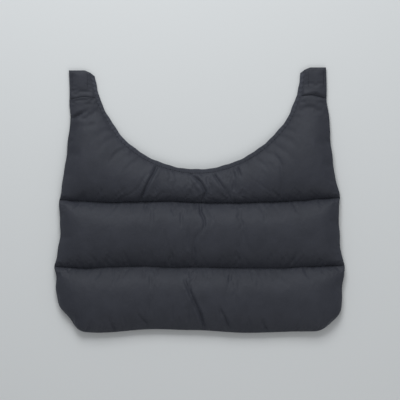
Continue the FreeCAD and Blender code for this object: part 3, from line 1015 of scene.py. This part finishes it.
def make_bindings():
    """Tape that wraps the neck edge, and runs on up the inner edges of the tabs."""
    near = neck_rows(NECK_RADIUS, 420)
    far = neck_rows(BAND_REACH, 420)
    neck = band_strip("neck_edge_tape", near, far, edge_level(far), 21)
    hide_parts("neck_binding")
    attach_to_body(neck, "upper_panel")
    for panel, side in (("left", -1), ("right", 1)):
        near = tab_rows(NECK_RADIUS, side, TAB_TOP_Y - 8.5, 60)
        far = tab_rows(BAND_REACH, side, TAB_TOP_Y - TAB_CORNER_DROP + 0.6, 60)
        if side > 0:
            tape = band_strip(f"{panel}_tab_edge_tape", near, far, edge_level(far), 22)
        else:
            tape = band_strip(f"{panel}_tab_edge_tape", near[::-1], far[::-1], edge_level(far), 23)
        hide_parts(f"{panel}_tab_binding")
        attach(tape, panel)


# ---- stitches

STITCH_PITCH = 3.3
STITCH_LENGTH = 2.5
STITCH_HALF_WIDTH = 0.3
STITCH_SUNK = 0.05
TOPSTITCH_RADIUS = NECK_RADIUS + BINDING_WIDTH - 1.1


def stitches(path, up):
    """Points and faces of a row of separate stitches along a path on a surface."""
    travel = travelled(path)
    count = max(1, int(travel[-1] / STITCH_PITCH))
    points = []
    faces = []
    for number in range(count):
        middle = (number + 0.5) * travel[-1] / count
        reach = STITCH_LENGTH / 2 * rng.uniform(0.92, 1.05)
        start, end = (
            np.array([np.interp(middle + side * reach, travel, path[:, axis]) for axis in range(3)])
            for side in (-1, 1)
        )
        centre = (start + end) / 2
        along = (end - start) / 2
        across = np.cross(up, along)
        across = across / np.linalg.norm(across)
        lean = rng.uniform(-0.12, 0.12)
        rings = 7
        sides = 6
        base = len(points)
        for ring in range(1, rings):
            place = -math.cos(math.pi * ring / rings)
            girth = math.sin(math.pi * ring / rings) ** 0.6
            for turn in range(sides):
                angle = 2 * math.pi * turn / sides
                point = centre + along * place + across * lean * place
                point = point + across * STITCH_HALF_WIDTH * girth * math.cos(angle)
                lift = STITCH_HALF_WIDTH * 0.9 * girth * math.sin(angle)
                points.append(point + up * (lift - STITCH_SUNK + 0.12 * girth))
        tips = [len(points), len(points) + 1]
        points += [centre - along - up * 0.25, centre + along - up * 0.25]
        for ring in range(rings - 2):
            for turn in range(sides):
                a = base + ring * sides + turn
                b = base + ring * sides + (turn + 1) % sides
                faces.append([a, b, b + sides, a + sides])
        last = base + (rings - 2) * sides
        for turn in range(sides):
            after = (turn + 1) % sides
            faces.append([base + after, base + turn, tips[0]])
            faces.append([last + turn, last + after, tips[1]])
    return points, faces


def stitch_piece(name, rows, node):
    """Rows of stitches joined in one piece. Each row is a path and the way its surface faces."""
    points = []
    faces = []
    for path, up in rows:
        row_points, row_faces = stitches(path, np.array([0.0, 0.0, up]))
        faces += [[number + len(points) for number in face] for face in row_faces]
        points += row_points
    piece = new_object(name, points, faces)
    finish_piece(piece, "thread")
    if node:
        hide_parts(node)
    return piece


def at_level(plan, height):
    """Points over a plan row, at a height or heights."""
    return np.concatenate([plan, np.broadcast_to(height, plan.shape[:1])[:, None]], axis=1)


def band_rows(seam):
    """Rows of stitches on both faces of the tape, along a seam on the plan."""
    level = edge_level(seam)
    over = at_level(seam, level + 0.92 * BAND_HALF)
    return [(over, 1.0), (at_level(seam, level - BAND_HALF), -1.0)]


def make_stitches(covers, linings):
    """Quilting, stop stitching and topstitching."""
    for name, above in (("upper", "upper"), ("lower", "middle")):
        rows = [(covers[above][0], 1.0), (linings[above][0], -1.0)]
        piece = stitch_piece(f"{name}_quilt_stitches", rows, f"{name}_quilt_thread")
        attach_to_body(piece, "upper_panel" if name == "upper" else "middle_panel")

    rows = band_rows(neck_rows(TOPSTITCH_RADIUS, 300))
    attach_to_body(stitch_piece("neck_topstitches", rows, "neck_topstitch"), "upper_panel")

    for panel, side in (("left", -1), ("right", 1)):
        rows = [(covers[panel][0, 2:], 1.0), (linings[panel][0], -1.0)]
        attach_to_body(stitch_piece(f"{panel}_tab_stop_stitches", rows, f"{panel}_tab_thread"), "upper_panel")
        rows = band_rows(tab_rows(TOPSTITCH_RADIUS, side, TAB_TOP_Y - 6.0, 60)[3:])
        attach(stitch_piece(f"{panel}_tab_topstitches", rows, f"{panel}_tab_topstitch"), panel)


# ---- hook tape under the tabs

TAPE_UNDERSIDE = 0.55
SELVAGE = 1.8
HOOK_PITCH = 1.25
# Rings of a hook: share of its height, share of its lean, and half width.
HOOK_RINGS = [(0.0, 0.0, 0.17), (0.62, 0.15, 0.13), (1.0, 0.8, 0.12), (0.7, 1.25, 0.1)]


def rounded_rectangle(low, high, radius, per_corner=5):
    """Outline with rounded corners, in a loop that turns left."""
    loop = []
    for x, y, start in (
        (high[0] - radius, low[1] + radius, -90),
        (high[0] - radius, high[1] - radius, 0),
        (low[0] + radius, high[1] - radius, 90),
        (low[0] + radius, low[1] + radius, 180),
    ):
        for angle in np.radians(np.linspace(start, start + 90, per_corner)):
            loop.append((x + radius * math.cos(angle), y + radius * math.sin(angle)))
    return np.array(loop)


def make_hook_patch(panel, cover):
    """Woven tape with rows of hooks, sewn round its edge to the underside of a tab."""
    low, high = corners(f"{panel}_hook_patch")
    middle = (low[:2] + high[:2]) / 2
    shift = settle(middle) - middle
    low = low[:2] + shift
    high = high[:2] + shift
    outline = rounded_rectangle(low, high, 2.0)
    count = len(outline)
    points = np.concatenate([at_level(outline, TAPE_UNDERSIDE), at_level(outline, TAB_FLOOR)]).tolist()
    faces = [list(range(count))[::-1], list(range(count, 2 * count))]
    faces += [[i, (i + 1) % count, (i + 1) % count + count, i + count] for i in range(count)]
    columns = np.arange(low[0] + SELVAGE, high[0] - SELVAGE, HOOK_PITCH)
    rows = np.arange(low[1] + SELVAGE, high[1] - SELVAGE, HOOK_PITCH)
    for row, y in enumerate(rows):
        for column, x in enumerate(columns):
            lean = 0.34 if (row + column) % 2 else -0.34
            lean *= rng.uniform(0.7, 1.2)
            base = len(points)
            for share, bend_share, girth in HOOK_RINGS:
                z = TAPE_UNDERSIDE + 0.02 - share * (TAPE_UNDERSIDE - 0.01)
                for turn in range(4):
                    angle = math.pi * (0.25 + turn / 2)
                    side = x + lean * bend_share + girth * math.cos(angle)
                    points.append([side, y + girth * math.sin(angle), max(z, 0.03)])
            for ring in range(3):
                for turn in range(4):
                    a = base + ring * 4 + turn
                    b = base + ring * 4 + (turn + 1) % 4
                    faces.append([a, a + 4, b + 4, b])
            faces.append(list(range(base + 12, base + 16)))
    piece = new_object(f"{panel}_hook_tape", points, faces, flat_from=0)
    finish_piece(piece, "hook_tape")
    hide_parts(f"{panel}_hook_patch")
    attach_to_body(piece, f"{panel}_tab")

    inset = rounded_rectangle(low + 1.1, high - 1.1, 1.2)
    inset = np.concatenate([inset, inset[:1]])
    under = at_level(inset, TAPE_UNDERSIDE)
    over = laid_on(cover, inset)
    sewing = stitch_piece(f"{panel}_hook_tape_stitches", [(over, 1.0), (under, -1.0)], None)
    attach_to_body(sewing, f"{panel}_tab")


def laid_on(cover, plan):
    """Points of a plan dropped on a cover's grid."""
    rows, columns = cover.shape[:2]
    tree = BVHTree.FromPolygons(cover.reshape(-1, 3).tolist(), grid_quads(rows, columns).tolist())
    laid = []
    for x, y in plan:
        hit = tree.ray_cast(Vector((x, y, 100.0)), Vector((0, 0, -1)))[0]
        laid.append((x, y, hit.z))
    return np.array(laid)


# ---- the pad

def pinched(points):
    """Cover held flat under the tape beside the neck edge."""
    y = points[..., 1]
    x = points[..., 0] + YOKE_SHIFT - tab_lean(points[..., 0], y)
    away = np.hypot(x, NECK_CENTRE_Y - np.minimum(y, NECK_CENTRE_Y)) - COVER_RADIUS
    plan = points[..., :2]
    base = edge_level(plan) + CLOTH
    hold = 0.85 * np.exp(-((np.clip(away, 0, None) / 2.0) ** 2))
    result = points.copy()
    result[..., 2] = base + (points[..., 2] - base) * (1 - hold)
    return result


plans = channel_plans()
plans["left"] = tab_plan(-1)
plans["right"] = tab_plan(1)
start = start_cover(plans)
swollen = inflate(start)
covers = {}
linings = {}
for panel, plan in plans.items():
    if panel in ("left", "right"):
        cover = pinched(creased(swollen[panel], TAB_CREASES, 0.12))
    else:
        cover = creased(swollen[panel], CREASES + PUCKERS, 0.30)
        if panel == "upper":
            cover = pinched(cover)
    outside = lining_grid(panel, plan)
    inside = outside + np.array([0, 0, CLOTH])
    cover = held_off(cover, inside)
    make_cover(panel, cover)
    make_lining(panel, outside, inside)
    make_wadding(panel, cover, inside)
    covers[panel] = cover
    linings[panel] = outside
make_bindings()
make_stitches(covers, linings)
for panel in ("left", "right"):
    make_hook_patch(panel, covers[panel])


# ---- floor, light and camera

def make_floor():
    """Plain pale floor under the pad."""
    points = [(-2500, -2500, -0.4), (2500, -2500, -0.4), (2500, 2500, -0.4), (-2500, 2500, -0.4)]
    floor = new_object("floor", points, [[0, 1, 2, 3]])
    material, _, shader = new_material("pale_floor")
    set_inputs(shader, {"Base Color": (0.70, 0.70, 0.69, 1), "Roughness": 0.8})
    floor.data.materials.append(material)


def area_light(name, place, target, width, height, watts, colour=(1, 1, 1)):
    """Soft light aimed at a point, in metres."""
    light = bpy.data.lights.new(name, "AREA")
    light.shape = "RECTANGLE"
    light.size = width
    light.size_y = height
    light.energy = watts
    light.color = colour
    lamp = add_object(name, light)
    lamp.location = place
    lamp.rotation_euler = (Vector(target) - Vector(place)).to_track_quat("-Z", "Y").to_euler()


def make_light():
    """Window-like light from beyond the tabs, and a weak fill from the other side."""
    area_light("key", (-0.15, 1.25, 1.15), (0, 0, 0), 1.1, 0.8, 20.5, (0.93, 0.97, 1.0))
    area_light("fill", (0.5, -1.3, 1.3), (0, 0, 0), 1.6, 1.2, 5.0)
    world = bpy.data.worlds.new("studio")
    world.use_nodes = True
    sky = world.node_tree.nodes["Background"]
    set_inputs(sky, {"Color": (0.9, 0.95, 1.0, 1), "Strength": 0.35})
    bpy.context.scene.world = world


def make_camera():
    """Camera straight above the pad, which sees a square 580 mm wide."""
    data = bpy.data.cameras.new("camera")
    data.sensor_width = 36.0
    data.lens = 36.0 * 3.0 / 0.58
    camera = add_object("camera", data)
    camera.location = (0.0007, 0.0, 3.012)
    bpy.context.scene.camera = camera


make_floor()
make_light()
make_camera()
bpy.context.scene.view_settings.view_transform = "Standard"
